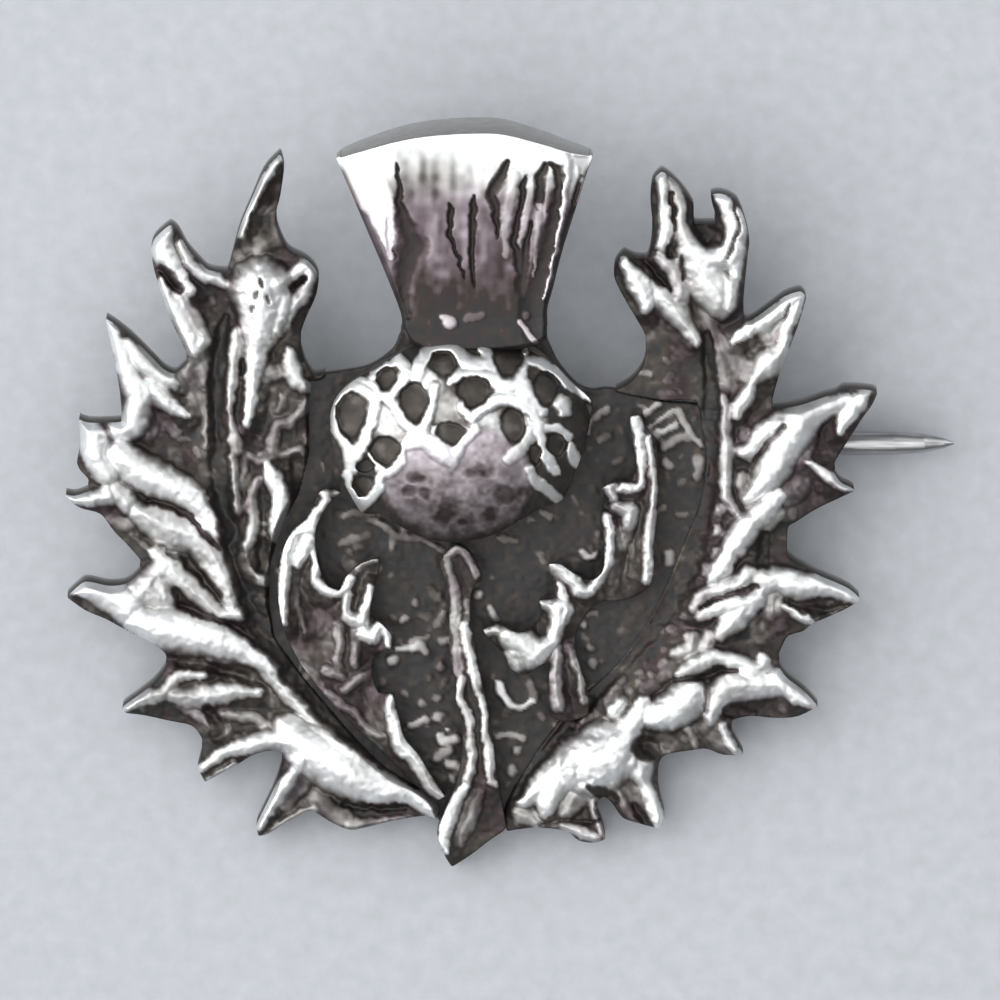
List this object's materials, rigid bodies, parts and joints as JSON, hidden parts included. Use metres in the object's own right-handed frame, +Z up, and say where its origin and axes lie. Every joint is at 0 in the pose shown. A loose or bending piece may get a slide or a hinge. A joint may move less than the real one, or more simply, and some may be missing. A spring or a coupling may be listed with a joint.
{
  "type": "thistle brooch",
  "caption": "Cast silver brooch in the form of a thistle head between two spiny leaves, with a hinged pin and a keeper on its back.",
  "frame": {"origin": "middle of the resting brooch's box, on the surface it lies on", "axes": "+X towards the pin's point, +Y towards the flower's crown, +Z up from the surface"},
  "size_m": [0.0357, 0.0302, 0.0078],
  "materials": {
    "cast_silver": "cast silver, tarnished black in the hollows and worn bright on the high spots",
    "pin_wire": "drawn hard wire, dull with fine lengthwise scratches",
    "rivet": "peened and dull"
  },
  "bodies": {
    "brooch": {"casting": "cast_silver", "hinge_rivet": "rivet"},
    "pin": {"pin_stem": "pin_wire"}
  },
  "joints": [
    {"name": "pin_swing", "type": "hinge", "parent": "brooch", "child": "pin", "pos_m": [-0.01096, 0.00188, 0.00111], "axis": [0, 0.9894, 0.1453], "range_deg": [0, 75]}
  ]
}
